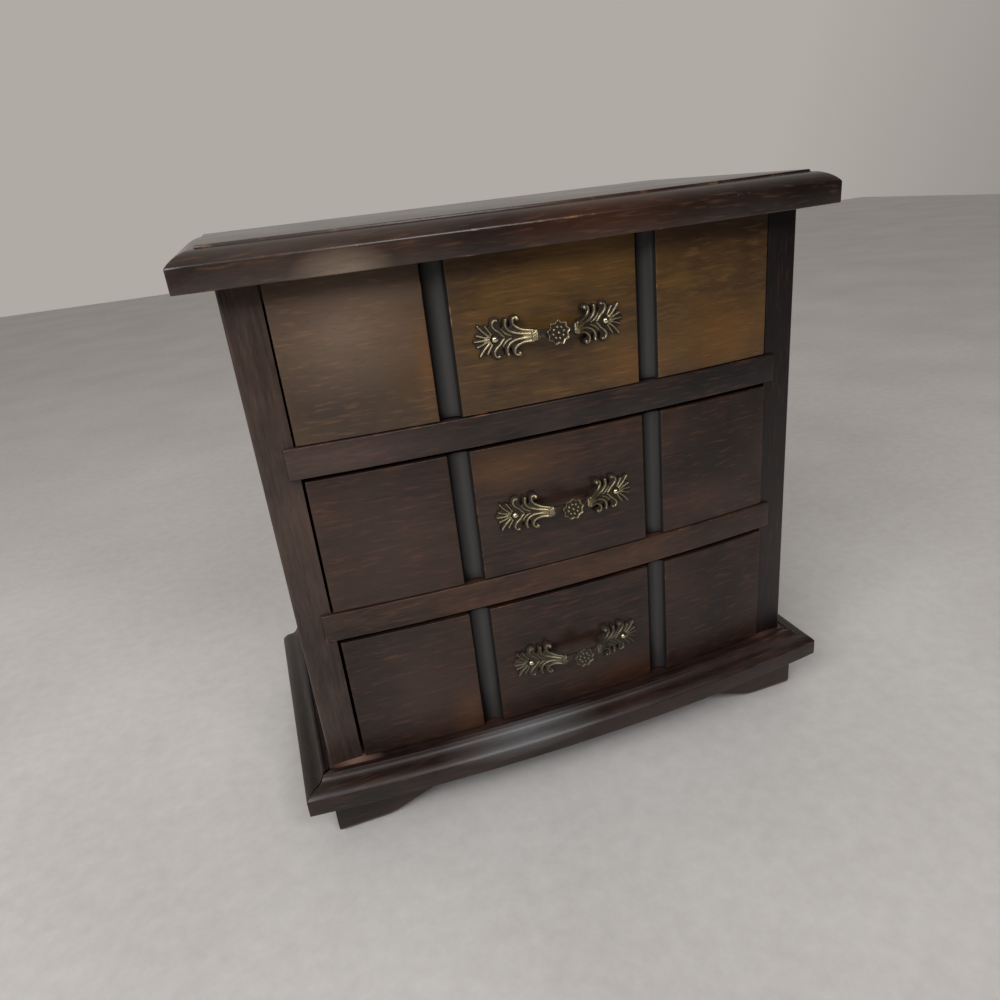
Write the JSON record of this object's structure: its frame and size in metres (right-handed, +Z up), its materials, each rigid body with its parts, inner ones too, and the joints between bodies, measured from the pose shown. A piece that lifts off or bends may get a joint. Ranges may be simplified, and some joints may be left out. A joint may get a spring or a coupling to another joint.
{
  "type": "musical jewelry box",
  "caption": "Bow-fronted musical jewellery chest in dark wood: lined sliding drawers with cast pulls, moulded top and plinth on bracket feet, wind-up movement behind the top drawer.",
  "frame": {"origin": "on the surface it stands on, under the middle of the whole object with its winding key", "axes": "+Z up, the bowed front with its drawers faces -Y, +X to the right seen from the front"},
  "size_m": [0.2784, 0.1668, 0.2705],
  "materials": {
    "case_wood": "dark walnut stain, satin lacquer, worn on the edges",
    "front_wood": "dark walnut stain, satin lacquer",
    "inner_wood": "plain sanded wood",
    "inner_panel": "thin fibreboard, brown",
    "velvet": "deep red velvet",
    "antique_brass": "cast, antiqued dark in the hollows",
    "movement_brass": "bright turned brass",
    "movement_steel": "plain bright steel"
  },
  "bodies": {
    "case": {"back_left_foot": "case_wood", "back_panel": "inner_panel", "back_panel_brads": "movement_steel", "back_right_foot": "case_wood", "base_board": "case_wood", "base_screws": "movement_steel", "cleat_screws": "movement_steel", "comb": "movement_steel", "comb_screws": "movement_steel", "cylinder_bearings": "movement_brass", "front_left_foot": "case_wood", "front_right_foot": "case_wood", "governor_bracket": "movement_steel", "left_side_panel": "case_wood", "lower_divider": "inner_panel", "lower_rail": "case_wood", "movement_bedplate": "movement_steel", "movement_screws": "movement_steel", "plinth_front": "case_wood", "plinth_left": "case_wood", "plinth_right": "case_wood", "right_side_panel": "case_wood", "spring_housing": "movement_steel", "top_board": "case_wood", "top_cleat_left": "inner_wood", "top_cleat_right": "inner_wood", "upper_divider": "inner_panel", "upper_rail": "case_wood"},
    "bottom_drawer": {"bottom_drawer_front": "front_wood", "bottom_drawer_left_side": "inner_wood", "bottom_drawer_right_side": "inner_wood", "bottom_drawer_back": "inner_wood", "bottom_drawer_bottom": "inner_panel", "bottom_drawer_lining": "velvet", "bottom_drawer_pull": "antique_brass", "bottom_drawer_pull_pins": "antique_brass"},
    "middle_drawer": {"middle_drawer_front": "front_wood", "middle_drawer_left_side": "inner_wood", "middle_drawer_right_side": "inner_wood", "middle_drawer_back": "inner_wood", "middle_drawer_bottom": "inner_panel", "middle_drawer_lining": "velvet", "middle_drawer_pull": "antique_brass", "middle_drawer_pull_pins": "antique_brass", "drawer_partition": "inner_wood"},
    "top_drawer": {"top_drawer_front": "front_wood", "top_drawer_left_side": "inner_wood", "top_drawer_right_side": "inner_wood", "top_drawer_back": "inner_wood", "top_drawer_bottom": "inner_panel", "top_drawer_lining": "velvet", "top_drawer_pull": "antique_brass", "top_drawer_pull_pins": "antique_brass", "ring_pad": "velvet"},
    "winding": {"great_wheel": "movement_brass", "winding_key": "movement_brass"},
    "cylinder": {"pin_cylinder": "movement_brass"},
    "governor": {"governor_wheel": "movement_brass"},
    "brake": {"air_brake": "movement_steel"},
    "lever": {"stop_lever": "movement_steel"}
  },
  "joints": [
    {"name": "bottom_drawer_slide", "type": "slide", "parent": "case", "child": "bottom_drawer", "axis": [0, -1, 0], "range_m": [0, 0.095]},
    {"name": "middle_drawer_slide", "type": "slide", "parent": "case", "child": "middle_drawer", "axis": [0, -1, 0], "range_m": [0, 0.095]},
    {"name": "top_drawer_slide", "type": "slide", "parent": "case", "child": "top_drawer", "axis": [0, -1, 0], "range_m": [0, 0.075]},
    {"name": "cylinder_turn", "type": "hinge", "parent": "case", "child": "cylinder", "pos_m": [0.005, 0.04942, 0.22355], "axis": [1, 0, 0], "continuous": true},
    {"name": "key_turn", "type": "hinge", "parent": "case", "child": "winding", "pos_m": [-0.015, 0.0639, 0.22355], "axis": [0, 1, 0], "continuous": true},
    {"name": "governor_turn", "type": "hinge", "parent": "case", "child": "governor", "pos_m": [0.018, 0.05229, 0.21695], "axis": [1, 0, 0], "continuous": true},
    {"name": "brake_turn", "type": "hinge", "parent": "case", "child": "brake", "pos_m": [0.02, 0.05378, 0.21155], "axis": [1, 0, 0], "continuous": true},
    {"name": "stop_lever_swing", "type": "hinge", "parent": "case", "child": "lever", "pos_m": [0.0239, 0.0594, 0.20555], "axis": [1, 0, 0], "range_deg": [0, 10]}
  ],
  "couplings": [
    {"joint": "key_turn", "follows": "cylinder_turn", "ratio": -0.33333},
    {"joint": "governor_turn", "follows": "cylinder_turn", "ratio": -3.5},
    {"joint": "brake_turn", "follows": "cylinder_turn", "ratio": 8.75},
    {"joint": "stop_lever_swing", "follows": "top_drawer_slide", "rad_per_m": 2.2}
  ]
}
